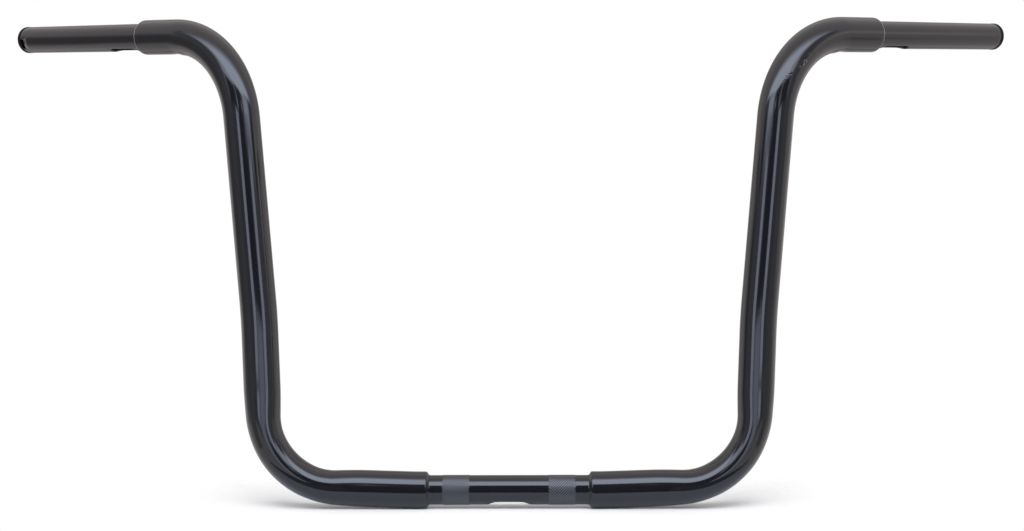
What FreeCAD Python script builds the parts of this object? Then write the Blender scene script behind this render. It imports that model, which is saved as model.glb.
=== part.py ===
import FreeCAD, Part
import os
import Sketcher
from FreeCAD import Vector

# Tall motorcycle handlebar: one steel tube, swaged down to a smaller size at the clamp
# section and at both grips, bent up, out and back, with a plastic plug in each end.
# Frame: origin on the tube axis at the middle of the clamp section, +X along the clamp
# section towards the clutch end, +Y back towards the rider, +Z up along the legs.

SIZES = [
    ("main_diameter", 31.75, "outside of the main tube"),
    ("end_diameter", 25.4, "outside of the clamp section and of the grips"),
    ("wall", 3.0, "tube wall"),
    ("clamp_half_length", 68.0, "middle of the bar to the start of the step"),
    ("step_length", 4.5, "length of each swaged step"),
    ("arm_stub", 2.0, "step to the slight rise of each arm"),
    ("rise_radius", 400.0, "slight rise of each arm"),
    ("rise_angle", 1.75, "slight rise of each arm"),
    ("arm_run", 62.8, "straight arm up to the lower bend"),
    ("lower_radius", 66.5, "lower bend, on the tube axis"),
    ("lower_angle", 85.65, "lower bend"),
    ("lower_flattening", 0.11, "share by which the lower bend is flattened"),
    ("lower_leg_run", 69.0, "straight leg above the lower bend"),
    ("lean_radius", 640.0, "outward lean part way up the leg"),
    ("lean_angle", 2.75, "outward lean part way up the leg"),
    ("upper_leg_run", 160.8, "straight leg up to the upper bend"),
    ("pull_back", 34.0, "plane of the upper bend, turned back from straight out"),
    ("upper_radius", 87.4, "upper bend, on the tube axis"),
    ("upper_angle", 79.8, "upper bend"),
    ("upper_flattening", 0.01, "share by which the upper bend is flattened"),
    ("bend_spread", 0.8, "sideways growth of a flattened section, as a share of the flattening"),
    ("bend_ramp", 25.0, "length either side of a bend's end over which the flattening fades"),
    ("grip_shoulder", 39.1, "main tube left between the upper bend and the grip's step"),
    ("grip_length", 165.4, "grip from the step to the tube's end"),
    ("band_spacing", 91.5, "between the middles of the knurled bands"),
    ("band_length", 23.5, "knurled band"),
    ("band_height", 0.2, "knurled band above the clamp section"),
    ("middle_slot_length", 36.5, "wiring slot under the clamp section"),
    ("middle_slot_width", 16.0, "wiring slot under the clamp section"),
    ("grip_slot_length", 38.0, "wiring slot under each grip"),
    ("grip_slot_width", 12.7, "wiring slot under each grip"),
    ("grip_slot_gap", 4.0, "step to the near end of a grip's wiring slot"),
    ("notch_width", 9.3, "throttle notches across the tube's end"),
    ("notch_depth", 4.8, "throttle notches along the tube"),
    ("notch_turn", 64.5, "throttle notches, turned from underneath towards the front"),
    ("plug_clearance", 0.15, "gap all round a plug's shank in the bore"),
    ("plug_shank", 18.0, "plug inside the tube"),
    ("plug_wall", 2.4, "wall of the hollow shank"),
    ("plug_lip", 0.15, "plug's head beyond the tube, all round"),
    ("plug_head", 4.6, "thickness of the plug's head"),
    ("plug_round", 1.4, "rounding of the head's outer edge"),
    ("plug_lead", 1.2, "lead-in at the shank's inner end"),
]

doc = FreeCAD.newDocument("handlebar")
sheet = doc.addObject("Spreadsheet::Sheet", "Sizes")
for row, (alias, value, note) in enumerate(SIZES, start=1):
    sheet.set(f"A{row}", alias)
    sheet.set(f"B{row}", str(value))
    sheet.set(f"C{row}", note)
    sheet.setAlias(f"B{row}", alias)
doc.recompute()

MAIN_RADIUS = "(Sizes.main_diameter / 2)"
END_RADIUS = "(Sizes.end_diameter / 2)"
WALL = "Sizes.wall"

# A tube frame has +X along the tube and +Z towards the centre of the next bend.
# This turn stands a circle, or a cylinder's axis, along a tube frame's +X.
ALONG_TUBE = "placement(vector(0; 0; 0); rotation(vector(1; 1; 1); 120))"
# This turn lays a ring so that it leaves the tube frame's origin along +X, about +Z.
ALONG_BEND = "rotation(vector(1; 1; -1); 120)"
# Share of the full flattening at five even steps across a fade.
FADE = [0.0, 0.15625, 0.5, 0.84375, 1.0]


def forward(length):
    return f"placement(vector({length}; 0; 0); rotation(vector(1; 0; 0); 0))"


def roll(angle):
    return f"placement(vector(0; 0; 0); rotation(vector(1; 0; 0); {angle}))"


def bend(radius, angle):
    reach = f"{radius} * sin({angle} * 1 deg)"
    rise = f"{radius} * (1 - cos({angle} * 1 deg))"
    return f"placement(vector({reach}; 0; {rise}); rotation(vector(0; -1; 0); {angle}))"


def frame(name, *moves):
    station = doc.addObject("App::Placement", name)
    station.setExpression("Placement", " * ".join(moves))
    return f"{name}.Placement"


def straight(name, start, length, radius):
    run = doc.addObject("Part::Cylinder", name)
    run.setExpression("Radius", radius)
    run.setExpression("Height", length)
    run.setExpression("Placement", f"{start} * {ALONG_TUBE}")
    return run


def round_bend(name, start, radius, angle, tube_radius):
    ring = doc.addObject("Part::Torus", name)
    ring.setExpression("Radius1", radius)
    ring.setExpression("Radius2", tube_radius)
    ring.setExpression("Angle3", angle)
    ring.setExpression("Placement", f"{start} * placement(vector(0; 0; {radius}); {ALONG_BEND})")
    return ring


# A bend whose round section turns oval on the way in and round again on the way out.
def flattened_bend(name, start, radius, angle, flattening, inset):
    ramp = "Sizes.bend_ramp"
    turn = f"{ramp} * 180 / (pi * {radius})"
    whole = bend(radius, angle)
    stations = [
        (forward(f"-{ramp}"), FADE[0]),
        (forward(f"-{ramp} / 2"), FADE[1]),
        (forward("0"), FADE[2]),
        (bend(radius, f"({turn} / 2)"), FADE[3]),
        (bend(radius, f"({turn})"), FADE[4]),
        (bend(radius, f"({angle} / 2)"), FADE[4]),
        (bend(radius, f"({angle} - {turn})"), FADE[4]),
        (bend(radius, f"({angle} - {turn} / 2)"), FADE[3]),
        (whole, FADE[2]),
        (f"{whole} * {forward(f'{ramp} / 2')}", FADE[1]),
        (f"{whole} * {forward(ramp)}", FADE[0]),
    ]
    sections = []
    for number, (place, share) in enumerate(stations):
        section = doc.addObject("Part::Ellipse", f"{name}Section{number}")
        wide = f"{MAIN_RADIUS} * (1 + Sizes.bend_spread * {flattening} * {share}) - {inset}"
        section.setExpression("MajorRadius", wide)
        section.setExpression("MinorRadius", f"{MAIN_RADIUS} * (1 - {flattening} * {share}) - {inset}")
        section.setExpression("Placement", f"{start} * {place} * {ALONG_TUBE}")
        sections.append(section)
    loft = doc.addObject("Part::Loft", name)
    loft.Sections = sections
    loft.Solid = True
    loft.Ruled = False
    return loft


def body_sketch(body, name):
    sketch = body.newObject("Sketcher::SketchObject", name)
    plane = next(item for item in body.Origin.OriginFeatures if item.Role == "XZ_Plane")
    sketch.AttachmentSupport = [(plane, "")]
    sketch.MapMode = "FlatFace"
    return sketch


def bind(sketch, constraint, expression):
    index = sketch.addConstraint(constraint)
    sketch.setExpression(f"Constraints[{index}]", expression)


def revolve(body, sketch):
    turned = body.newObject("PartDesign::Revolution", f"{body.Name}Turned")
    turned.Profile = sketch
    turned.ReferenceAxis = (sketch, ["H_Axis"])
    turned.Angle = 360.0
    body.Tip = turned


# A small cylinder that swells through an S-shaped step to the main tube, about +X:
# two equal arcs meet the small size and the large one without a corner.
def stepped_form(name, place, small_length, large_length, inset):
    body = doc.addObject("PartDesign::Body", name)
    sketch = body_sketch(body, f"{name}Profile")
    # Rough sizes to draw with: the constraints below bring in the real ones.
    small, large, length, step, radius = 12.0, 15.0, 60.0, 4.0, 2.1
    shoulder = length + step
    end = shoulder + 10.0
    above = Vector(0, 0, 1)
    sketch.addGeometry([
        Part.LineSegment(Vector(0, 0, 0), Vector(end, 0, 0)),
        Part.LineSegment(Vector(end, 0, 0), Vector(end, large, 0)),
        Part.LineSegment(Vector(end, large, 0), Vector(shoulder, large, 0)),
        Part.ArcOfCircle(Part.Circle(Vector(shoulder, large - radius, 0), above, radius), 1.571, 2.8),
        Part.ArcOfCircle(Part.Circle(Vector(length, small + radius, 0), above, radius), 4.712, 5.9),
        Part.LineSegment(Vector(length, small, 0), Vector(0, small, 0)),
        Part.LineSegment(Vector(0, small, 0), Vector(0, 0, 0)),
    ])
    axis, far, top, shoulder_arc, hollow_arc, neck, near = range(7)
    first, last, origin = 1, 2, -1
    sketch.addConstraint([
        Sketcher.Constraint("Coincident", axis, first, origin, 1),
        Sketcher.Constraint("Coincident", axis, last, far, first),
        Sketcher.Constraint("Coincident", far, last, top, first),
        Sketcher.Constraint("Coincident", neck, last, near, first),
        Sketcher.Constraint("Coincident", near, last, axis, first),
        Sketcher.Constraint("Tangent", top, last, shoulder_arc, first),
        Sketcher.Constraint("Tangent", shoulder_arc, last, hollow_arc, last),
        Sketcher.Constraint("Tangent", hollow_arc, first, neck, first),
        Sketcher.Constraint("Equal", shoulder_arc, hollow_arc),
        Sketcher.Constraint("Horizontal", axis),
        Sketcher.Constraint("Horizontal", top),
        Sketcher.Constraint("Horizontal", neck),
        Sketcher.Constraint("Vertical", far),
        Sketcher.Constraint("Vertical", near),
    ])
    bind(sketch, Sketcher.Constraint("DistanceX", neck, last, neck, first, length), small_length)
    bind(sketch, Sketcher.Constraint("DistanceX", neck, first, top, last, step), "Sizes.step_length")
    bind(sketch, Sketcher.Constraint("DistanceX", top, last, top, first, 10.0), large_length)
    small_radius = f"{END_RADIUS} - {inset}"
    large_radius = f"{MAIN_RADIUS} - {inset}"
    bind(sketch, Sketcher.Constraint("DistanceY", near, last, near, first, small), small_radius)
    bind(sketch, Sketcher.Constraint("DistanceY", far, first, far, last, large), large_radius)
    revolve(body, sketch)
    body.setExpression("Placement", place)
    return body


# Closed outline of straight lines with its corners given as expressions, turned about +X.
def turned_form(name, place, corners):
    body = doc.addObject("PartDesign::Body", name)
    sketch = body_sketch(body, f"{name}Profile")
    rough = [tuple(float(sheet.evalExpression(term)) for term in corner) for corner in corners]
    for start, stop in zip(rough, rough[1:] + rough[:1]):
        sketch.addGeometry(Part.LineSegment(Vector(*start, 0), Vector(*stop, 0)))
    origin, level_axis, upright_axis = (-1, 1), -1, -2
    for number, (x, y) in enumerate(corners):
        following = (number + 1) % len(corners)
        sketch.addConstraint(Sketcher.Constraint("Coincident", number, 2, following, 1))
        if x == "0":
            sketch.addConstraint(Sketcher.Constraint("PointOnObject", number, 1, upright_axis))
        else:
            bind(sketch, Sketcher.Constraint("DistanceX", *origin, number, 1, rough[number][0]), x)
        if y == "0":
            sketch.addConstraint(Sketcher.Constraint("PointOnObject", number, 1, level_axis))
        else:
            bind(sketch, Sketcher.Constraint("DistanceY", *origin, number, 1, rough[number][1]), y)
    revolve(body, sketch)
    body.setExpression("Placement", place)
    return body


# Long hole with round ends: its length runs along +X and it is cut along +Z, both ways
# from the tube frame's axis out past the wall.
def slot_cutter(name, place, length, width):
    reach = f"{END_RADIUS} + {WALL}"
    middle = doc.addObject("Part::Box", f"{name}Middle")
    middle.setExpression("Length", f"{length} - {width}")
    middle.setExpression("Width", width)
    middle.setExpression("Height", reach)
    corner = f"placement(vector(-({length} - {width}) / 2; -{width} / 2; 0); rotation(vector(0; 0; 1); 0))"
    middle.setExpression("Placement", f"{place} * {corner}")
    shapes = [middle]
    for end, side in (("Near", "-"), ("Far", "")):
        round_end = doc.addObject("Part::Cylinder", f"{name}{end}")
        round_end.setExpression("Radius", f"{width} / 2")
        round_end.setExpression("Height", reach)
        round_end.setExpression("Placement", f"{place} * {forward(f'{side}({length} - {width}) / 2')}")
        shapes.append(round_end)
    return fuse(name, shapes)


def fuse(name, shapes):
    joined = doc.addObject("Part::MultiFuse", name)
    joined.Shapes = shapes
    joined.Refine = True
    return joined


def cut(name, base, tool):
    left = doc.addObject("Part::Cut", name)
    left.Base = base
    left.Tool = tool
    left.Refine = True
    return left


def mirrored(name, source):
    copy = doc.addObject("Part::Mirroring", name)
    copy.Source = source
    copy.Normal = Vector(1, 0, 0)
    copy.Base = Vector(0, 0, 0)
    return copy


# Stations along the clutch half of the bar, each worked out from the one before.
clamp_middle = frame("ClampMiddle", forward("0"))
rise_start = frame(
    "RiseStart",
    clamp_middle,
    forward("Sizes.clamp_half_length + Sizes.step_length + Sizes.arm_stub"),
)
rise_end = frame("RiseEnd", rise_start, bend("Sizes.rise_radius", "Sizes.rise_angle"))
lower_start = frame("LowerStart", rise_end, forward("Sizes.arm_run"))
lower_end = frame("LowerEnd", lower_start, bend("Sizes.lower_radius", "Sizes.lower_angle"))
lean_start = frame("LeanStart", lower_end, forward("Sizes.lower_leg_run"), roll("180"))
lean_end = frame("LeanEnd", lean_start, bend("Sizes.lean_radius", "Sizes.lean_angle"))
upper_start = frame("UpperStart", lean_end, forward("Sizes.upper_leg_run"), roll("Sizes.pull_back"))
upper_end = frame("UpperEnd", upper_start, bend("Sizes.upper_radius", "Sizes.upper_angle"))
grip_start = frame("GripStart", upper_end, forward("Sizes.grip_shoulder + Sizes.step_length"))
tube_end = frame("TubeEnd", grip_start, forward("Sizes.grip_length"))
TURNED_INWARD = "placement(vector(0; 0; 0); rotation(vector(0; 0; 1); 180))"


# One half of the bar as a solid, smaller all round by the inset.
def half_form(name, inset):
    ramp = "Sizes.bend_ramp"
    radius = f"{MAIN_RADIUS} - {inset}"
    return [
        stepped_form(f"{name}Clamp", clamp_middle, "Sizes.clamp_half_length", "Sizes.arm_stub", inset),
        round_bend(f"{name}Rise", rise_start, "Sizes.rise_radius", "Sizes.rise_angle", radius),
        straight(f"{name}Arm", rise_end, f"Sizes.arm_run - {ramp}", radius),
        flattened_bend(
            f"{name}LowerBend", lower_start, "Sizes.lower_radius", "Sizes.lower_angle",
            "Sizes.lower_flattening", inset,
        ),
        straight(
            f"{name}LowerLeg", f"{lower_end} * {forward(ramp)}",
            f"Sizes.lower_leg_run - {ramp}", radius,
        ),
        round_bend(f"{name}Lean", lean_start, "Sizes.lean_radius", "Sizes.lean_angle", radius),
        straight(f"{name}UpperLeg", lean_end, f"Sizes.upper_leg_run - {ramp}", radius),
        flattened_bend(
            f"{name}UpperBend", upper_start, "Sizes.upper_radius", "Sizes.upper_angle",
            "Sizes.upper_flattening", inset,
        ),
        stepped_form(
            f"{name}Grip", f"{tube_end} * {TURNED_INWARD}", "Sizes.grip_length",
            f"Sizes.grip_shoulder - {ramp}", inset,
        ),
    ]


band = straight(
    "KnurledBand",
    f"{clamp_middle} * {forward('(Sizes.band_spacing - Sizes.band_length) / 2')}",
    "Sizes.band_length",
    f"{END_RADIUS} + Sizes.band_height",
)
half_outside = fuse("HalfOutside", half_form("Outside", "0") + [band])
half_bore = fuse("HalfBore", half_form("Bore", WALL))
half_tube = cut("HalfTube", half_outside, half_bore)
whole_tube = fuse("WholeTube", [half_tube, mirrored("OtherHalfTube", half_tube)])

# Wiring slots: one under the clamp section and one under each grip, in the bend's plane.
middle_place = f"{clamp_middle} * {roll('180')}"
middle_slot = slot_cutter(
    "MiddleSlot", middle_place, "Sizes.middle_slot_length", "Sizes.middle_slot_width",
)
slot_place = f"{grip_start} * {forward('Sizes.grip_slot_gap + Sizes.grip_slot_length / 2')}"
grip_slot = slot_cutter("GripSlot", slot_place, "Sizes.grip_slot_length", "Sizes.grip_slot_width")
# Throttle notches: a bar across the tube's open end, on the throttle side only.
notch_cutter = doc.addObject("Part::Box", "NotchCutter")
notch_cutter.setExpression("Length", "Sizes.notch_depth")
notch_cutter.setExpression("Width", "Sizes.notch_width")
notch_cutter.setExpression("Height", f"Sizes.end_diameter + {WALL}")
notch_corner = (
    "placement(vector(-Sizes.notch_depth; -Sizes.notch_width / 2; "
    f"-(Sizes.end_diameter + {WALL}) / 2); rotation(vector(0; 0; 1); 0))"
)
notch_cutter.setExpression("Placement", f"{tube_end} * {roll('-Sizes.notch_turn')} * {notch_corner}")
other_grip_slot = mirrored("OtherGripSlot", grip_slot)
throttle_notch = mirrored("ThrottleNotch", notch_cutter)
openings = fuse("Openings", [middle_slot, grip_slot, other_grip_slot, throttle_notch])
handlebar = cut("Handlebar", whole_tube, openings)
handlebar.Label = "handlebar"

# End plug: a hollow shank in the bore behind a rounded head that covers the tube's end.
bore_radius = f"{END_RADIUS} - {WALL}"
shank_radius = f"({bore_radius} - Sizes.plug_clearance)"
hollow_radius = f"({shank_radius} - Sizes.plug_wall)"
head_radius = f"({END_RADIUS} + Sizes.plug_lip)"
head_end = "Sizes.plug_shank + Sizes.plug_head"
plug = turned_form(
    "ClutchEndPlug",
    f"{tube_end} * {forward('-Sizes.plug_shank')}",
    [
        (head_end, "0"),
        (head_end, head_radius),
        ("Sizes.plug_shank", head_radius),
        ("Sizes.plug_shank", shank_radius),
        ("Sizes.plug_lead", shank_radius),
        ("0", f"{shank_radius} - Sizes.plug_lead / 2"),
        ("0", hollow_radius),
        ("Sizes.plug_shank", hollow_radius),
        ("Sizes.plug_shank", "0"),
    ],
)
doc.recompute()
turned_plug = plug.Tip
plug_edges = turned_plug.Shape.Edges
head_edge = max(
    range(len(plug_edges)),
    key=lambda number: plug_edges[number].BoundBox.XMin + plug_edges[number].Length,
)
head_round = plug.newObject("PartDesign::Fillet", "HeadRound")
head_round.Base = (turned_plug, [f"Edge{head_edge + 1}"])
head_round.setExpression("Radius", "Sizes.plug_round")
plug.Tip = head_round
plug.Label = "clutch_end_plug"
throttle_plug = mirrored("ThrottleEndPlug", plug)
throttle_plug.Label = "throttle_end_plug"
doc.recompute()

for item in doc.Objects:
    if "Invalid" in item.State or "Error" in item.State:
        raise RuntimeError(f"{item.Name} failed: {item.State}")
for whole, part, name in ((half_outside, half_tube, "bore"), (whole_tube, handlebar, "openings")):
    if part.Shape.Volume > whole.Shape.Volume - 1.0:
        raise RuntimeError(f"the {name} cut nothing")

os.makedirs("parts", exist_ok=True)
for item in (handlebar, plug, throttle_plug):
    if item.Shape.isNull() or not item.Shape.isValid():
        raise RuntimeError(f"{item.Label} has no valid shape")
    item.Shape.exportStep(f"parts/{item.Label}.step")
    print(item.Label, round(item.Shape.Volume), "mm3,", len(item.Shape.Solids), "solid")
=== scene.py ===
import math

import bmesh
import bpy
from mathutils import Matrix, Vector


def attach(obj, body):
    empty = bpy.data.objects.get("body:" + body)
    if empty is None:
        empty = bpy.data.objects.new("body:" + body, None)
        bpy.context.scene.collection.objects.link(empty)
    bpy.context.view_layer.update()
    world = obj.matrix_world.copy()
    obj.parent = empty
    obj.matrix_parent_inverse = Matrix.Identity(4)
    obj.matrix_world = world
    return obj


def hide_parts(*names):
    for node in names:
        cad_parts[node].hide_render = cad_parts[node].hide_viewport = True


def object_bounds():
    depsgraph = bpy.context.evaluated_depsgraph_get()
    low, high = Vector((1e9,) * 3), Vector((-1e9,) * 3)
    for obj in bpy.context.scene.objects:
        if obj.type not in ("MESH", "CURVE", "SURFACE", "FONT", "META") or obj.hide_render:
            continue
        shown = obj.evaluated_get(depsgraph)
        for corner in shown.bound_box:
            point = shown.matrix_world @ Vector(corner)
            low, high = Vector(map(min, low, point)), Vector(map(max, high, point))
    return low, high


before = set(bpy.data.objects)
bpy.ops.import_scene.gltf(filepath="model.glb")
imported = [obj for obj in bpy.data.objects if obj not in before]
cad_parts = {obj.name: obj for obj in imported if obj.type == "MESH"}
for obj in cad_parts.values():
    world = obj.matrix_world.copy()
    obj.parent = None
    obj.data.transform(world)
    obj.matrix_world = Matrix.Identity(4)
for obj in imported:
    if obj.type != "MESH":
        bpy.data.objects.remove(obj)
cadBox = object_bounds()
scene = bpy.context.scene
mm = 0.001
print("frame loaded:", ", ".join(sorted(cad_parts)))


def linear(hexColour):
    # sRGB hex to the linear values that shaders take
    shares = [int(hexColour[at:at + 2], 16) / 255 for at in (1, 3, 5)]
    return tuple(s / 12.92 if s <= 0.04045 else ((s + 0.055) / 1.055) ** 2.4 for s in shares) + (1.0,)


def clamp(value, low, high):
    return min(max(value, low), high)


def newObject(name, mesh):
    piece = bpy.data.objects.new(name, mesh)
    scene.collection.objects.link(piece)
    return piece


def addNode(tree, kind, inputs=None, **settings):
    # inputs: socket name or number -> a plain value, or the output that feeds it
    node = tree.nodes.new(kind)
    for name, value in settings.items():
        setattr(node, name, value)
    for name, value in (inputs or {}).items():
        if isinstance(value, bpy.types.NodeSocket):
            tree.links.new(value, node.inputs[name])
        else:
            node.inputs[name].default_value = value
    return node


def maths(tree, operation, *values):
    return addNode(tree, "ShaderNodeMath", dict(enumerate(values)), operation=operation).outputs[0]


def vectorMaths(tree, operation, *values):
    node = addNode(tree, "ShaderNodeVectorMath", dict(enumerate(values)), operation=operation)
    return node.outputs["Value" if operation in ("DISTANCE", "DOT_PRODUCT", "LENGTH") else "Vector"]


def separate(tree, vector):
    return addNode(tree, "ShaderNodeSeparateXYZ", {0: vector}).outputs


def rising(tree, value, zeroAt, oneAt, kind="LINEAR"):
    inputs = {"Value": value, "From Min": zeroAt, "From Max": oneAt}
    return addNode(tree, "ShaderNodeMapRange", inputs, interpolation_type=kind).outputs["Result"]


def between(tree, share, first, second):
    inputs = {"Value": share, "To Min": first, "To Max": second}
    return addNode(tree, "ShaderNodeMapRange", inputs).outputs["Result"]


def mixColour(tree, share, first, second):
    # sockets 6 and 7 and output 2 are the node's colours
    inputs = {0: share, 6: first, 7: second}
    return addNode(tree, "ShaderNodeMix", inputs, data_type="RGBA").outputs[2]


# camera: stands in front of the bar, a little above the floor, and looks slightly up
view = {
    "place": (12.05 * mm, -1241.25 * mm, 142.88 * mm),
    "pan": 0.417, "tilt": 2.395, "roll": -0.121,  # degrees, from level and straight along +Y
    "lens": 50.0, "sensor": 36.0,
}


def makeCamera():
    data = bpy.data.cameras.new("camera")
    data.lens = view["lens"]
    data.sensor_width = view["sensor"]
    data.sensor_fit = "HORIZONTAL"
    turned = Matrix.Rotation(math.radians(view["pan"]), 4, "Z")
    turned = turned @ Matrix.Rotation(math.radians(90 + view["tilt"]), 4, "X")
    turned = turned @ Matrix.Rotation(math.radians(view["roll"]), 4, "Z")
    camera = newObject("camera", data)
    camera.matrix_world = Matrix.Translation(view["place"]) @ turned
    scene.camera = camera


makeCamera()
print("camera placed")


# handlebar: one tube, swaged down at the clamp section and grips; lengths from the middle outwards
bar = {
    "mainRadius": 15.875 * mm, "endRadius": 12.7 * mm, "wall": 3.0 * mm,
    "clampHalf": 68.0 * mm, "step": 4.5 * mm, "armStub": 2.0 * mm,
    "riseRadius": 400.0 * mm, "riseAngle": 1.75, "armRun": 62.8 * mm,
    "lowerRadius": 66.5 * mm, "lowerAngle": 85.65, "lowerFlattening": 0.11, "lowerLegRun": 69.0 * mm,
    "leanRadius": 640.0 * mm, "leanAngle": 2.75, "upperLegRun": 160.8 * mm, "pullBack": 34.0,
    "upperRadius": 87.4 * mm, "upperAngle": 79.8, "upperFlattening": 0.01,
    "spread": 0.8, "ramp": 25.0 * mm,  # how far an oval bend widens, and the length over which it fades
    "gripShoulder": 39.1 * mm, "gripLength": 165.4 * mm,
    "endRound": 0.5 * mm, "slotRound": 0.4 * mm,  # broken edges at the open ends and round the slots
}
# the bend schedule: runs, and turns with the side they turn to (degrees about the tube from its upper line)
schedule = [
    ("run", bar["clampHalf"] + bar["step"] + bar["armStub"]),
    ("turn", bar["riseRadius"], bar["riseAngle"], 0.0),
    ("run", bar["armRun"]),
    ("turn", bar["lowerRadius"], bar["lowerAngle"], 0.0),
    ("run", bar["lowerLegRun"]),
    ("turn", bar["leanRadius"], bar["leanAngle"], 180.0),
    ("run", bar["upperLegRun"]),
    ("turn", bar["upperRadius"], bar["upperAngle"], 180.0 + bar["pullBack"]),
    ("run", bar["gripShoulder"] + bar["step"] + bar["gripLength"]),
]


def moveLength(move):
    return move[1] if move[0] == "run" else move[1] * math.radians(move[2])


marks = [0.0]
for move in schedule:
    marks.append(marks[-1] + moveLength(move))
riseEnd, lowerStart, lowerEnd, leanStart, leanEnd, upperStart, upperEnd, tubeEnd = marks[2:]
gripStart = tubeEnd - bar["gripLength"]
gripStep = gripStart - bar["step"]


def alongMove(place, ahead, toward, move, distance):
    # the tube's axis after part of a move: place, direction ahead, and the line that starts as the upper one
    if move[0] == "run":
        return place + ahead * distance, ahead, toward
    side = math.radians(move[3])
    centreWay = toward * math.cos(side) + ahead.cross(toward) * math.sin(side)
    spin = Matrix.Rotation(distance / move[1], 3, ahead.cross(centreWay))
    centre = place + centreWay * move[1]
    return centre + spin @ (place - centre), spin @ ahead, spin @ toward


def axisAt(distance):
    # the clutch half as bent, the throttle half as its mirror image
    place, ahead, toward = Vector((0, 0, 0)), Vector((1, 0, 0)), Vector((0, 0, 1))
    left = abs(distance)
    for move in schedule:
        part = min(left, moveLength(move))
        place, ahead, toward = alongMove(place, ahead, toward, move, part)
        left -= part
        if left <= 0:
            break
    sideways = ahead.cross(toward)
    if distance < 0:
        place, ahead, toward, sideways = (Vector((-v.x, v.y, v.z)) for v in (place, ahead, toward, sideways))
    return place, ahead, toward, sideways


def stepShare(share):
    # two equal arcs that meet in the middle of a swaged step
    drop = bar["mainRadius"] - bar["endRadius"]
    radius = (drop ** 2 + bar["step"] ** 2) / (4 * drop)
    lower = min(share, 1 - share) * bar["step"]
    climb = (radius - math.sqrt(radius ** 2 - lower ** 2)) / drop
    return climb if share < 0.5 else 1 - climb


def radiusAt(distance):
    left = abs(distance)
    intoArm = clamp((left - bar["clampHalf"]) / bar["step"], 0, 1)
    intoGrip = clamp((left - gripStep) / bar["step"], 0, 1)
    share = stepShare(intoArm) * (1 - stepShare(intoGrip))
    return bar["endRadius"] + (bar["mainRadius"] - bar["endRadius"]) * share


def fade(distance, start, end):
    # 0 before a bend, 1 inside it, and smooth over one ramp either side of each end
    ramp = bar["ramp"]
    inward = clamp((distance - start + ramp) / (2 * ramp), 0, 1)
    outward = clamp((end + ramp - distance) / (2 * ramp), 0, 1)
    share = min(inward, outward)
    return share * share * (3 - 2 * share)


def ovalAt(distance):
    # flattening of the section, and the turn of the side that is flattened
    left = abs(distance)
    lower = bar["lowerFlattening"] * fade(left, lowerStart, lowerEnd)
    upper = bar["upperFlattening"] * fade(left, upperStart, upperEnd)
    return (lower, 0.0) if lower > upper else (upper, math.radians(bar["pullBack"]))


# openings and knurl: lengths along the tube, turns in degrees about it from its upper line;
# a window is the patch of plain mesh that makes way for an opening
slots = {
    "middle": {"centre": 0.0, "turn": 180.0, "length": 36.5 * mm, "width": 16.0 * mm,
               "window": (-26.0 * mm, 26.0 * mm), "windowTurn": 70.0},
    "grip": {"centre": gripStart + 23.0 * mm, "turn": 180.0 + bar["pullBack"], "length": 38.0 * mm,
             "width": 12.7 * mm, "window": (gripStart + 1.0 * mm, gripStart + 46.0 * mm), "windowTurn": 60.0},
}
slotRim = 1.0 * mm  # a ring of the mesh goes round each slot this far outside it
notch = {"turn": 149.5, "width": 9.3 * mm, "depth": 4.8 * mm, "reach": 14.0 * mm, "windowTurn": 35.0}
knurl = {
    "start": 34.0 * mm, "end": 57.5 * mm, "ridges": 34, "twist": -105.0,  # degrees over the band's length
    "crest": 0.2 * mm, "rings": 14, "finePerColumn": 6, "margin": 0.4 * mm,
    "dull": 0.16,  # share of the scuffs' dullness
    # painted highlight: the crests' paler colour stands in for the light that the ridges reflect
    "crestHighlightColour": "#4f535b", "crestHighlightWindow": (0.74, 0.9),  # shares of the height between which it comes in
}
bandStart, bandEnd = knurl["start"] - knurl["margin"], knurl["end"] + knurl["margin"]
arcMiddle = 0.3  # where the middle of a broken edge lies, as a share of its radius

# the tube's mesh: columns round it, degrees of a bend between rows, and lengths between rows elsewhere
columns = 72
columnTurn = 2 * math.pi / columns
spacing = {
    "bend": 1.5, "straight": 8.0 * mm, "plain": 4.0 * mm, "fine": 2.6 * mm, "slot": 4.5 * mm,
    "swage": 0.45 * mm, "axis": 0.375 * mm,
}
hair = 0.001 * mm  # lengths closer than this are the same


def evenly(start, end, gap):
    count = max(1, round((end - start) / gap))
    return [start + (end - start) * number / count for number in range(count)]


def halfRows():
    # distances of the mesh rows on one half, up to the knurl and on from it
    middleEnd = slots["middle"]["window"][1]
    near = evenly(0, middleEnd, spacing["slot"])
    near += evenly(middleEnd, bandStart, spacing["plain"]) + [bandStart]
    slotStart, slotEnd = slots["grip"]["window"]
    ramp, lip = bar["ramp"], bar["endRound"]
    bendRow = math.radians(spacing["bend"])
    stretches = [
        (bar["clampHalf"], spacing["plain"]),
        (bar["clampHalf"] + bar["step"], spacing["swage"]),
        (riseEnd, spacing["fine"]),
        (lowerStart - ramp, spacing["straight"]),
        (lowerStart, spacing["fine"]),
        (lowerEnd, bar["lowerRadius"] * bendRow),
        (lowerEnd + ramp, spacing["fine"]),
        (leanStart, spacing["straight"]),
        (leanEnd, spacing["plain"]),
        (upperStart - ramp, spacing["straight"]),
        (upperStart, spacing["plain"]),
        (upperEnd, bar["upperRadius"] * bendRow),
        (gripStep, spacing["plain"]),
        (gripStart, spacing["swage"]),
        (slotStart, spacing["plain"]),
        (slotEnd, spacing["slot"]),
        (tubeEnd - notch["reach"], spacing["straight"]),
        (tubeEnd - lip, spacing["fine"]),
    ]
    far = []
    start = bandEnd
    for end, gap in stretches:
        far += evenly(start, end, gap)
        start = end
    return near, far + [tubeEnd - lip, tubeEnd - arcMiddle * lip, tubeEnd]


def endDepth(distance):
    # how far the broken edge at an open end lies below the tube's surface
    lip = bar["endRound"]
    over = max(0.0, abs(distance) - (tubeEnd - lip))
    return lip - math.sqrt(max(0.0, lip ** 2 - over ** 2))


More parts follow.
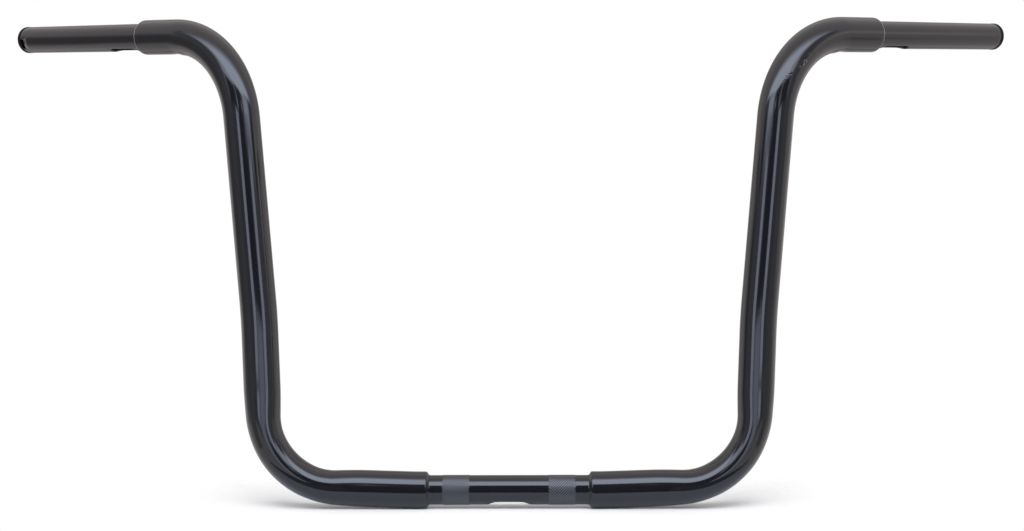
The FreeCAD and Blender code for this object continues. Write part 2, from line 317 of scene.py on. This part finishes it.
class Skin:
    # the tube's skin laid out flat: x along the tube, y the turn about it, z the depth into the wall
    def __init__(self):
        self.points, self.faces = [], []
        near, far = halfRows()
        self.rows = [-d for d in reversed(near + far)][:-1] + near + far
        low, high = slots["grip"]["window"]
        throttleSlot = dict(slots["grip"], centre=-slots["grip"]["centre"], window=(-high, -low))
        self.slots = [self.window(slot) for slot in (throttleSlot, slots["grip"], slots["middle"])]
        endWindow = (-tubeEnd, notch["reach"] - tubeEnd)
        turns = (notch["turn"], notch["turn"] + 180)
        self.notches = [self.window(dict(notch, turn=turn, window=endWindow)) for turn in turns]
        self.outer, self.inner = self.layGrid(0.0, 1), self.layGrid(bar["wall"], -1)
        for side in (-1, 1):
            self.layKnurl(side)
        for window in self.slots:
            self.cutSlot(window)
        for window in self.notches:
            self.cutNotch(window)
        self.closeEnds()

    def window(self, opening):
        # the opening with the first and last row and the left and right column of its window
        low, high = opening["window"]
        inside = [n for n, d in enumerate(self.rows) if low - hair < d < high + hair]
        middle = round(math.radians(opening["turn"]) / columnTurn)
        reach = round(math.radians(opening["windowTurn"]) / columnTurn)
        return dict(opening, first=inside[0], last=inside[-1], left=middle - reach, right=middle + reach)

    def add(self, distance, turn, depth, crest=0.0):
        self.points.append((distance, turn, depth, crest))
        return len(self.points) - 1

    def bridge(self, lines, closed=True):
        # faces between lines of points that follow each other
        for first, second in zip(lines, lines[1:]):
            for at in range(len(first) if closed else len(first) - 1):
                after = (at + 1) % len(first)
                self.faces.append((first[at], first[after], second[after], second[at]))

    def isOpen(self, row, column):
        # a cell lies between this row and column and the next ones
        for window in self.slots + self.notches:
            wide = window["right"] - window["left"]
            if window["first"] <= row < window["last"] and (column - window["left"]) % columns < wide:
                return True
        return False

    def layGrid(self, depth, inward):
        # one skin as a grid of cells, left open at the windows and, on the outside, under the knurl
        made = {}

        def vertex(row, column):
            key = (row, column % columns)
            if key not in made:
                lip = depth + inward * endDepth(self.rows[row])
                made[key] = self.add(self.rows[row], key[1] * columnTurn, lip)
            return made[key]

        for row in range(len(self.rows) - 1):
            middle = abs(self.rows[row] + self.rows[row + 1]) / 2
            if inward > 0 and bandStart < middle < bandEnd:
                continue
            for column in range(columns):
                if not self.isOpen(row, column):
                    corners = [(row, column), (row, column + 1), (row + 1, column + 1), (row + 1, column)]
                    self.faces.append(tuple(vertex(*corner) for corner in corners))
        return vertex

    def layKnurl(self, side):
        # a knurled band: rings of finer columns, twisted so that they follow the ridges
        start, end = sorted((side * knurl["start"], side * knurl["end"]))
        inset = knurl["margin"]
        places = [start] + evenly(start + inset, end - inset, (end - start) / knurl["rings"])
        places += [end - inset, end]
        fine = columns * knurl["finePerColumn"]
        turns = [number * 2 * math.pi / fine for number in range(fine)]
        rings = []
        for place in places:
            twist = math.radians(knurl["twist"]) * (place - start) / (end - start)
            raised = 0.5 if start < place < end else 0.0
            rings.append([
                self.add(place, turn + twist, 0.0, raised * (1 - math.cos(turn * knurl["ridges"])))
                for turn in turns
            ])
        self.bridge(rings)
        self.sew(max(n for n, d in enumerate(self.rows) if d < start), rings[0], 0)
        shift = round(-knurl["twist"] / 360 * columns)
        self.sew(min(n for n, d in enumerate(self.rows) if d > end), rings[-1], shift)

    def sew(self, row, ring, shift):
        # triangles between a row of the outer skin and a ring of finer columns
        fine = knurl["finePerColumn"]
        half = fine // 2
        for column in range(columns):
            left, right = self.outer(row, column), self.outer(row, column + 1)
            first = (column + shift) * fine
            edge = [ring[(first + n) % len(ring)] for n in range(fine + 1)]
            self.faces += [(left, edge[n], edge[n + 1]) for n in range(half)]
            self.faces.append((left, edge[half], right))
            self.faces += [(right, edge[n], edge[n + 1]) for n in range(half, fine)]

    def windowEdge(self, window, vertex, atEnd=False):
        # the points round a window and their places, on three sides only where it lies at the tube's end
        first, last, left, right = (window[key] for key in ("first", "last", "left", "right"))
        path = [(row, left) for row in range(first, last)]
        path += [(last, column) for column in range(left, right)]
        if atEnd:
            path += [(row, right) for row in range(last, first - 1, -1)]
        else:
            path += [(row, right) for row in range(last, first, -1)]
            path += [(first, column) for column in range(right, left, -1)]
        return [(vertex(row, column), self.rows[row], column * columnTurn) for row, column in path]

    def cutSlot(self, window):
        # a wiring slot: rings from the outer skin, round the broken edges, through the wall to the bore
        turn = math.radians(window["turn"])
        core = (window["length"] - window["width"]) / 2

        def ring(edge, skinDepth, offset, depth, share=0.0):
            # the slot's outline, wider by the offset, or a share of the way back to the window's edge
            made = []
            for number, distance, edgeTurn in edge:
                x = distance - window["centre"]
                y = (bar["endRadius"] - skinDepth) * math.sin(edgeTurn - turn)
                coreX = clamp(x, -core, core)
                reach = (window["width"] / 2 + offset) / math.hypot(x - coreX, y)
                ringX, ringY = coreX + (x - coreX) * reach, y * reach
                ringTurn = turn + math.asin(ringY / (bar["endRadius"] - depth))
                made.append(self.add(
                    window["centre"] + ringX + (x - ringX) * share,
                    ringTurn + (edgeTurn - ringTurn) * share, depth,
                ))
            return made

        outerEdge, innerEdge = self.windowEdge(window, self.outer), self.windowEdge(window, self.inner)
        wall, lip = bar["wall"], bar["slotRound"]
        corner = arcMiddle * lip
        rings = [[number for number, distance, edgeTurn in outerEdge]]
        rings += [ring(outerEdge, 0, slotRim, 0, share) for share in (0.66, 0.33, 0.0)]
        rings += [ring(outerEdge, 0, offset, depth) for offset, depth in (
            (lip, 0), (corner, corner), (0, lip), (0, wall - lip), (corner, wall - corner), (lip, wall),
        )]
        rings += [ring(innerEdge, wall, lip, wall, 0.5)]
        rings += [[number for number, distance, edgeTurn in innerEdge]]
        self.bridge(rings)

    def cutNotch(self, window):
        # a throttle notch: lines from its window's edge inwards on both skins, joined through the wall
        turn = math.radians(window["turn"])
        layers = []
        for vertex, depth in ((self.outer, 0.0), (self.inner, bar["wall"])):
            edge = self.windowEdge(window, vertex, atEnd=True)
            halfTurn = math.asin(notch["width"] / 2 / (bar["endRadius"] - depth))
            lines = [[number for number, distance, edgeTurn in edge]]
            for share in (0.5, 0.0):
                line = []
                for number, distance, edgeTurn in edge:
                    place = (distance + tubeEnd) * notch["depth"] / notch["reach"] - tubeEnd
                    across = (edgeTurn - turn) / math.radians(notch["windowTurn"])
                    placeTurn = turn + clamp(across, -1, 1) * halfTurn
                    line.append(self.add(
                        place + (distance - place) * share,
                        placeTurn + (edgeTurn - placeTurn) * share,
                        self.points[number][2],
                    ))
                lines.append(line)
            self.bridge(lines, closed=False)
            layers.append(lines)
        self.bridge([lines[-1] for lines in layers], closed=False)
        for end in (0, -1):
            self.bridge([[line[end] for line in lines] for lines in layers], closed=False)

    def closeEnds(self):
        # end faces between the outer skin and the bore
        last = len(self.rows) - 1
        for row, cell in ((0, 0), (last, last - 1)):
            for column in range(columns):
                if not self.isOpen(cell, column):
                    self.faces.append((self.outer(row, column), self.outer(row, column + 1),
                                       self.inner(row, column + 1), self.inner(row, column)))


# small bulge pushed up on the inside of each upper bend, and the hollow beside it
bendInside = 180.0 + bar["pullBack"]
wrinkles = [
    {"before": 13.0 * mm, "turn": bendInside, "long": 5.0 * mm, "wide": 26.0, "height": 0.45 * mm},
    {"before": 2.0 * mm, "turn": bendInside, "long": 6.0 * mm, "wide": 30.0, "height": -0.3 * mm},
]


def swellAt(distance, turn, depth):
    # how far a wrinkle lifts the outer skin
    if depth > bar["wall"] / 2:
        return 0.0
    swell = 0.0
    for wrinkle in wrinkles:
        along = (abs(distance) - upperEnd + wrinkle["before"]) / wrinkle["long"]
        around = (math.degrees(turn) - wrinkle["turn"]) / wrinkle["wide"]
        swell += wrinkle["height"] * math.exp(-along ** 2 - around ** 2)
    return swell


def makePath():
    # the tube's axis as a line of points that carry its section: radius, flattening, turn of the oval;
    # from the lower bend to the upper one, a second point after each row keeps its length nearer the arcs'
    near, far = halfRows()
    extra = [d + spacing["axis"] for d in far if lowerStart < d < upperEnd]
    half = sorted(set(near + far + extra))
    distances = [-d for d in reversed(half)][:-1] + half
    axis = [axisAt(distance) for distance in distances]
    mesh = bpy.data.meshes.new("barAxis")
    mesh.from_pydata([point[0] for point in axis], [(n, n + 1) for n in range(len(axis) - 1)], [])
    carried = {
        "toward": [point[2] for point in axis],
        "sideways": [point[3] for point in axis],
        "section": [(radiusAt(distance), *ovalAt(distance)) for distance in distances],
    }
    for name, vectors in carried.items():
        attribute = mesh.attributes.new(name, "FLOAT_VECTOR", "POINT")
        for item, vector in zip(attribute.data, vectors):
            item.vector = vector
    return newObject("barAxis", mesh)


def rollTree():
    # rolls the flat skin round the axis, with the knurl's ridges raised on it
    tree = bpy.data.node_groups.new("rolledTube", "GeometryNodeTree")
    sockets = {
        "Skin": "Geometry", "Axis": "Object", "Half Length": "Float", "Oval Spread": "Float",
        "Crest Height": "Float", "Finish": "Material",
    }
    for name, kind in sockets.items():
        tree.interface.new_socket(name, in_out="INPUT", socket_type="NodeSocket" + kind)
    tree.interface.new_socket("Tube", in_out="OUTPUT", socket_type="NodeSocketGeometry")
    given = addNode(tree, "NodeGroupInput").outputs

    def named(name, kind):
        node = addNode(tree, "GeometryNodeInputNamedAttribute", {"Name": name}, data_type=kind)
        return node.outputs["Attribute"]

    flat = separate(tree, addNode(tree, "GeometryNodeInputPosition").outputs[0])
    along = maths(tree, "ADD", flat["X"], given["Half Length"])
    axis = addNode(tree, "GeometryNodeObjectInfo", {"Object": given["Axis"]}).outputs["Geometry"]
    axis = addNode(tree, "GeometryNodeMeshToCurve", {"Mesh": axis}).outputs["Curve"]

    def sampled(name):
        inputs = {"Curves": axis, "Value": named(name, "FLOAT_VECTOR"), "Length": along}
        node = addNode(tree, "GeometryNodeSampleCurve", inputs, mode="LENGTH", data_type="FLOAT_VECTOR")
        return node.outputs

    def scaled(vector, share):
        node = addNode(tree, "ShaderNodeVectorMath", {0: vector, "Scale": share}, operation="SCALE")
        return node.outputs["Vector"]

    toward, sideways = sampled("toward"), sampled("sideways")
    section = separate(tree, sampled("section")["Value"])
    crest, swell = named("crest", "FLOAT"), named("swell", "FLOAT")
    lift = maths(tree, "MULTIPLY_ADD", crest, given["Crest Height"], swell)
    lift = maths(tree, "SUBTRACT", lift, flat["Z"])
    thin = maths(tree, "MULTIPLY", section["X"], section["Y"])
    flatRadius = maths(tree, "ADD", maths(tree, "SUBTRACT", section["X"], thin), lift)
    wideRadius = maths(tree, "MULTIPLY_ADD", thin, given["Oval Spread"], section["X"])
    wideRadius = maths(tree, "ADD", wideRadius, lift)
    turn = maths(tree, "SUBTRACT", flat["Y"], section["Z"])
    oval = addNode(tree, "ShaderNodeCombineXYZ", {
        "X": maths(tree, "MULTIPLY", flatRadius, maths(tree, "COSINE", turn)),
        "Y": maths(tree, "MULTIPLY", wideRadius, maths(tree, "SINE", turn)),
    }).outputs[0]
    oval = addNode(tree, "ShaderNodeVectorRotate", {
        "Vector": oval, "Angle": section["Z"],
    }, rotation_type="Z_AXIS").outputs[0]
    oval = separate(tree, oval)
    place = vectorMaths(tree, "ADD", scaled(toward["Value"], oval["X"]), toward["Position"])
    place = vectorMaths(tree, "ADD", scaled(sideways["Value"], oval["Y"]), place)
    rolled = addNode(tree, "GeometryNodeSetPosition", {"Geometry": given["Skin"], "Position": place})
    smooth = addNode(tree, "GeometryNodeSetShadeSmooth", {"Geometry": rolled.outputs[0]})
    real = addNode(tree, "GeometryNodeRealizeInstances", {"Geometry": smooth.outputs[0]})
    painted = addNode(tree, "GeometryNodeSetMaterial", {
        "Geometry": real.outputs[0], "Material": given["Finish"],
    })
    addNode(tree, "NodeGroupOutput", {"Tube": painted.outputs[0]})
    return tree


def runTree(piece, tree, values):
    # sets the tree's named inputs, keeps the result as a plain mesh and takes the modifier off again
    modifier = piece.modifiers.new("tree", "NODES")
    modifier.node_group = tree
    for item in tree.interface.items_tree:
        if item.item_type == "SOCKET" and item.in_out == "INPUT" and item.name in values:
            modifier[item.identifier] = values[item.name]
    bpy.context.view_layer.update()
    evaluated = piece.evaluated_get(bpy.context.evaluated_depsgraph_get())
    mesh = bpy.data.meshes.new_from_object(evaluated)
    piece.modifiers.remove(modifier)
    piece.data = mesh


def faceOutwards(mesh):
    shape = bmesh.new()
    shape.from_mesh(mesh)
    bmesh.ops.recalc_face_normals(shape, faces=shape.faces)
    shape.to_mesh(mesh)
    shape.free()


def makeHandlebar(finish):
    skin = Skin()
    mesh = bpy.data.meshes.new("handlebarSkin")
    mesh.from_pydata([point[:3] for point in skin.points], [], skin.faces)
    crests = [point[3] for point in skin.points]
    swells = [swellAt(*point[:3]) for point in skin.points]
    for name, values in (("crest", crests), ("swell", swells)):
        mesh.attributes.new(name, "FLOAT", "POINT").data.foreach_set("value", values)
    piece = newObject("tube", mesh)
    axis = makePath()
    runTree(piece, rollTree(), {
        "Axis": axis, "Half Length": tubeEnd, "Oval Spread": bar["spread"],
        "Crest Height": knurl["crest"], "Finish": finish,
    })
    bpy.data.objects.remove(axis)
    faceOutwards(piece.data)
    piece.data.attributes.remove(piece.data.attributes["swell"])
    return piece


# gloss black powder coat, baked on steel: near black and mirror-like, with the coat's faint orange peel
coat = {
    "colour": "#141519", "roughness": 0.1, "ior": 1.5,
    "peelSize": 2.5 * mm, "peelDepth": 0.01 * mm, "peelStrength": 0.2,
    "line": 1.0 * mm, "lineHalf": 0.7 * mm,  # thin pale line just past each grip's swaged shoulder
}
# wear in the coat on the clutch side's upper bend: places in mm, how far each reaches
scuffs = {
    "colour": "#84827f", "roughness": 0.5, "core": 0.3,  # the core is fully worn, as a share of the reach
    "rippleSize": 1.8 * mm, "rippleDepth": 0.2 * mm, "rippleStrength": 0.6,
    "ripples": [((245.0, -12.0, 358.5), 8.0)],
    "speckSize": 1.6 * mm, "speckWindow": (0.54, 0.7),  # noise values between which a speck comes in
    "specks": [
        ((254.5, -8.1, 368.0), 2.6), ((257.2, -6.6, 370.4), 2.6),
        ((260.2, -4.8, 372.8), 2.4), ((264.2, -2.4, 379.2), 2.0),
    ],
}


def noise(tree, where, size, detail):
    inputs = {"Vector": where, "Scale": 1 / size, "Detail": detail}
    return addNode(tree, "ShaderNodeTexNoise", inputs).outputs[0]


def wornNear(tree, where, places):
    # 1 at the middle of a worn place, 0 outside it
    worn = 0.0
    for place, reach in places:
        away = vectorMaths(tree, "DISTANCE", where, [v * mm for v in place])
        near = rising(tree, away, reach * mm, scuffs["core"] * reach * mm)
        worn = maths(tree, "MAXIMUM", worn, near)
    return worn


def coatNormal(tree, where):
    # orange peel all over, and the ripples on it
    peel = addNode(tree, "ShaderNodeBump", {
        "Height": noise(tree, where, coat["peelSize"], 1.0),
        "Strength": coat["peelStrength"], "Distance": coat["peelDepth"],
    }).outputs[0]
    ripple = noise(tree, where, scuffs["rippleSize"], 0.0)
    return addNode(tree, "ShaderNodeBump", {
        "Height": maths(tree, "MULTIPLY", ripple, wornNear(tree, where, scuffs["ripples"])),
        "Strength": scuffs["rippleStrength"], "Distance": scuffs["rippleDepth"], "Normal": peel,
    }).outputs[0]


def paleShare(tree, where, clutchSide):
    # the specks, and the line round each grip's shoulder
    speck = rising(tree, noise(tree, where, scuffs["speckSize"], 1.0), *scuffs["speckWindow"])
    speck = maths(tree, "MULTIPLY", speck, wornNear(tree, where, scuffs["specks"]))
    shoulder, ahead = axisAt(gripStep)[:2]
    beyond = vectorMaths(tree, "SUBTRACT", clutchSide, shoulder)
    beyond = vectorMaths(tree, "DOT_PRODUCT", beyond, ahead)
    line = maths(tree, "COMPARE", beyond, coat["line"], coat["lineHalf"])
    return maths(tree, "MAXIMUM", speck, line)


def blackPaint():
    material = bpy.data.materials.new("blackPowderCoat")
    material.use_nodes = True
    tree = material.node_tree
    shader = tree.nodes["Principled BSDF"]
    where = addNode(tree, "ShaderNodeTexCoord").outputs["Object"]
    parts = separate(tree, where)
    side = maths(tree, "ABSOLUTE", parts["X"])
    clutchSide = addNode(tree, "ShaderNodeCombineXYZ", {"X": side, "Y": parts["Y"], "Z": parts["Z"]})
    pale = paleShare(tree, where, clutchSide.outputs[0])
    colour = mixColour(tree, pale, linear(coat["colour"]), linear(scuffs["colour"]))
    # knurl: a little duller, with a painted highlight on the crests: drawn paler than they are, in place of
    # the light that the fine ridges reflect
    crest = addNode(tree, "ShaderNodeAttribute", attribute_name="crest").outputs["Fac"]
    crest = rising(tree, crest, *knurl["crestHighlightWindow"])
    colour = mixColour(tree, crest, colour, linear(knurl["crestHighlightColour"]))
    middle, half = (knurl["start"] + knurl["end"]) / 2, (knurl["end"] - knurl["start"]) / 2
    banded = maths(tree, "MULTIPLY", maths(tree, "COMPARE", side, middle, half), knurl["dull"])
    dull = maths(tree, "MAXIMUM", pale, banded)
    rough = between(tree, dull, coat["roughness"], scuffs["roughness"])
    tree.links.new(colour, shader.inputs["Base Color"])
    tree.links.new(rough, shader.inputs["Roughness"])
    tree.links.new(coatNormal(tree, where), shader.inputs["Normal"])
    shader.inputs["IOR"].default_value = coat["ior"]
    return material


# end plugs: the solids themselves, in moulded black polyethylene
plugs = {
    "nodes": ("throttle_end_plug", "clutch_end_plug"),
    "colour": "#070708", "roughness": 0.5, "specular": 0.15,
}


def blackPlastic():
    material = bpy.data.materials.new("mouldedPolyethylene")
    material.use_nodes = True
    shader = material.node_tree.nodes["Principled BSDF"]
    shader.inputs["Base Color"].default_value = linear(plugs["colour"])
    shader.inputs["Roughness"].default_value = plugs["roughness"]
    shader.inputs["Specular IOR Level"].default_value = plugs["specular"]
    return material


paint, plastic = blackPaint(), blackPlastic()
tube = makeHandlebar(paint)
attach(tube, "root")
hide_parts("handlebar")
print("handlebar:", len(tube.data.polygons), "faces")
for name in plugs["nodes"]:
    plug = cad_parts[name]
    plug.data.materials.clear()
    plug.data.materials.append(plastic)
print("end plugs finished")


# studio: panels that only reflections show, in metres; level is a panel's brightness, white is 1,
# and soft the share of its width and height that fades on each side; those without a level are black
panels = {
    "overheadSoftbox": {"centre": (0, -1.02, 1.2), "up": (0, 0.93, -0.36), "size": (2.4, 1.95),
                        "colour": "#dce4fa", "level": 6.8, "soft": (0.25, 0.2)},
    "lowStrip": {"centre": (0, -1.1, 0.085), "size": (0.96, 0.23),
                 "colour": "#dce2ff", "level": 2.3, "soft": (0.3, 0.15)},
    "backWall": {"centre": (0, 1.6, 0.5), "size": (2.8, 3.0), "colour": "#fffaf5", "level": 0.55},
    "leftWall": {"centre": (-2.4, -1.3, 0.5), "across": (0, 1, 0), "size": (1.9, 3.0),
                 "colour": "#f4f7ff", "level": 0.5},
    "rightWall": {"centre": (2.4, -1.35, 0.5), "across": (0, 1, 0), "size": (1.7, 3.0),
                  "colour": "#f4f7ff", "level": 0.5},
    "frontWall": {"centre": (0, -2.2, 0.9), "size": (4.8, 2.0), "colour": "#f4f7ff", "level": 0.35},
    "leftFlag": {"centre": (-1.3, 0.0, 0.27), "across": (0, 1, 0), "size": (1.0, 0.98),
                 "colour": "#fff8f6", "level": 0.31, "soft": (0.35, 0.33)},
    "rightFlag": {"centre": (1.3, -0.1, 0.0), "across": (0, 1, 0), "size": (0.6, 0.5),
                  "colour": "#fff8f0", "level": 0.55, "soft": (0.45, 0.45)},
    "rightGlow": {"centre": (1.3, -0.1, 0.58), "across": (0, 1, 0), "size": (0.6, 0.4),
                  "colour": "#fff8f0", "level": 1.5, "soft": (0.45, 0.45)},
    "farCard": {"centre": (0, -2.15, 0.87), "size": (0.92, 1.56)},
    "middleCard": {"centre": (0, -1.08, 0.35), "size": (0.57, 0.3)},
    "lowCard": {"centre": (0, -0.063, 0.002), "size": (0.31, 0.035)},
}
# these stand on the right and, mirrored, on the left
pairs = {
    "Softbox": {"centre": (0.62, -0.9, 0.8), "across": (0.82, 0.57, 0), "size": (0.95, 0.62),
                "colour": "#dce4fa", "level": 4.6, "soft": (0.3, 0.3)},
    "Strip": {"centre": (0.44, -0.835, 0.28), "across": (0.49, 0.87, 0), "size": (0.34, 0.46),
              "colour": "#e0e4ff", "level": 3.6, "soft": (0.06, 0.05)},
    "Fill": {"centre": (0.43, -2.14, 1.05), "size": (0.34, 0.5),
             "colour": "#e0e4ff", "level": 2.6, "soft": (0.4, 0.4)},
    "LowCard": {"centre": (0.21, -0.063, -0.0153), "across": (0.958, 0, -0.287), "up": (0.287, 0, 0.958),
                "size": (0.14, 0.035), "colour": "#f4f7ff", "level": 0.12},
    "Card": {"centre": (0.335, -0.208, 0.425), "across": (0.97, 0.242, 0), "size": (0.2, 0.13),
             "soft": (0.25, 0.25)},
}


def newSheet(name, materialName, wide, high, level=0.0):
    # a flat rectangle about the origin, and the empty node tree of its material
    corners = [(-wide, -high, level), (wide, -high, level), (wide, high, level), (-wide, high, level)]
    mesh = bpy.data.meshes.new(name)
    mesh.from_pydata(corners, [], [(0, 1, 2, 3)])
    material = bpy.data.materials.new(materialName)
    material.use_nodes = True
    material.node_tree.nodes.clear()
    mesh.materials.append(material)
    return newObject(name, mesh), material.node_tree


def makePanel(name, panel, side=1):
    # a rectangle of even glow that may fade towards its sides and ends; side -1 mirrors it
    x, y, z = panel["centre"]
    across = Vector(panel.get("across", (1, 0, 0))).normalized()
    up = Vector(panel.get("up", (0, 0, 1))).normalized()
    across, up = Vector((across.x, side * across.y, side * across.z)), Vector((side * up.x, up.y, up.z))
    wide, high = (length / 2 for length in panel["size"])
    piece, tree = newSheet(name, name, wide, high)
    surface = addNode(tree, "ShaderNodeEmission", {
        "Color": linear(panel.get("colour", "#000000")), "Strength": panel.get("level", 0.0),
    })
    if "soft" in panel:
        where = addNode(tree, "ShaderNodeTexCoord").outputs["Object"]
        where = separate(tree, vectorMaths(tree, "ABSOLUTE", where))
        shares = [
            rising(tree, where[axis], half * (1 - 2 * soft), half, "SMOOTHSTEP")
            for axis, half, soft in zip("XY", (wide, high), panel["soft"])
        ]
        clear = addNode(tree, "ShaderNodeBsdfTransparent")
        surface = addNode(tree, "ShaderNodeMixShader", {
            0: maths(tree, "MAXIMUM", *shares), 1: surface.outputs[0], 2: clear.outputs[0],
        })
    addNode(tree, "ShaderNodeOutputMaterial", {"Surface": surface.outputs[0]})
    turned = Matrix((across, up, across.cross(up))).transposed()
    piece.matrix_world = Matrix.Translation((side * x, y, z)) @ turned.to_4x4()
    piece.visible_camera = False
    piece.visible_diffuse = False
    piece.visible_shadow = False


# lamp: lights the floor from above the camera, so that the bar throws a shadow; reflections don't show it
lamp = {"place": (0, -1.15, 1.15), "size": 1.2, "power": 32.0, "colour": "#fcfcff"}


def makeLamp():
    data = bpy.data.lights.new("overheadLamp", "AREA")
    data.size = lamp["size"]
    data.energy = lamp["power"]
    data.color = linear(lamp["colour"])[:3]
    piece = newObject("overheadLamp", data)
    piece.location = lamp["place"]
    piece.rotation_euler = Vector(lamp["place"]).to_track_quat("Z", "Y").to_euler()
    piece.visible_camera = False
    piece.visible_glossy = False


# floor: white paper with a faint gloss, in metres; it keeps the shadow near the bar and fades into white
floor = {
    "half": 1.5, "colour": "#fbfbfd", "mirroredColour": "#eaf2ff", "glossIor": 1.04, "roughness": 0.2,
    "fade": (0.06, 0.26), "sideShare": 0.25,  # distances from the middle, in which x counts less
    "sideFade": (0.19, 0.31),
}


def makeFloor():
    piece, tree = newSheet("floor", "whitePaper", floor["half"], floor["half"], cadBox[0][2])
    where = addNode(tree, "ShaderNodeTexCoord").outputs["Object"]
    away = vectorMaths(tree, "LENGTH", vectorMaths(tree, "MULTIPLY", where, (floor["sideShare"], 1.0, 0.0)))
    side = maths(tree, "ABSOLUTE", separate(tree, where)["X"])
    gone = maths(
        tree, "MAXIMUM",
        rising(tree, away, *floor["fade"], "SMOOTHSTEP"),
        rising(tree, side, *floor["sideFade"], "SMOOTHSTEP"),
    )
    mirrored = addNode(tree, "ShaderNodeLightPath").outputs["Is Glossy Ray"]
    tint = mixColour(tree, mirrored, linear(floor["colour"]), linear(floor["mirroredColour"]))
    paper = addNode(tree, "ShaderNodeBsdfDiffuse", {"Color": tint})
    gloss = addNode(tree, "ShaderNodeBsdfGlossy", {"Roughness": floor["roughness"]})
    board = addNode(tree, "ShaderNodeMixShader", {
        0: addNode(tree, "ShaderNodeFresnel", {"IOR": floor["glossIor"]}).outputs[0],
        1: paper.outputs[0], 2: gloss.outputs[0],
    })
    clear = addNode(tree, "ShaderNodeBsdfTransparent")
    both = addNode(tree, "ShaderNodeMixShader", {0: gone, 1: board.outputs[0], 2: clear.outputs[0]})
    addNode(tree, "ShaderNodeOutputMaterial", {"Surface": both.outputs[0]})


# white room: full to the camera and in reflections, where it has a tint, and a plain level as light
room = {"plain": 0.55, "colour": "#ffffff", "mirroredColour": "#fff6f7"}


def makeWorld():
    world = bpy.data.worlds.new("studio")
    world.use_nodes = True
    tree = world.node_tree
    tree.nodes.clear()
    rays = addNode(tree, "ShaderNodeLightPath").outputs
    seen = maths(tree, "MAXIMUM", rays["Is Camera Ray"], rays["Is Glossy Ray"])
    seen = maths(tree, "MAXIMUM", seen, rays["Is Transmission Ray"])
    tint = mixColour(tree, rays["Is Glossy Ray"], linear(room["colour"]), linear(room["mirroredColour"]))
    air = addNode(tree, "ShaderNodeBackground", {
        "Color": tint, "Strength": between(tree, seen, room["plain"], 1.0),
    })
    addNode(tree, "ShaderNodeOutputWorld", {"Surface": air.outputs[0]})
    scene.world = world


for name, panel in panels.items():
    makePanel(name, panel)
for name, panel in pairs.items():
    makePanel("left" + name, panel, -1)
    makePanel("right" + name, panel)
makeLamp()
makeFloor()
makeWorld()
scene.view_settings.view_transform = "Standard"
print("studio lit")
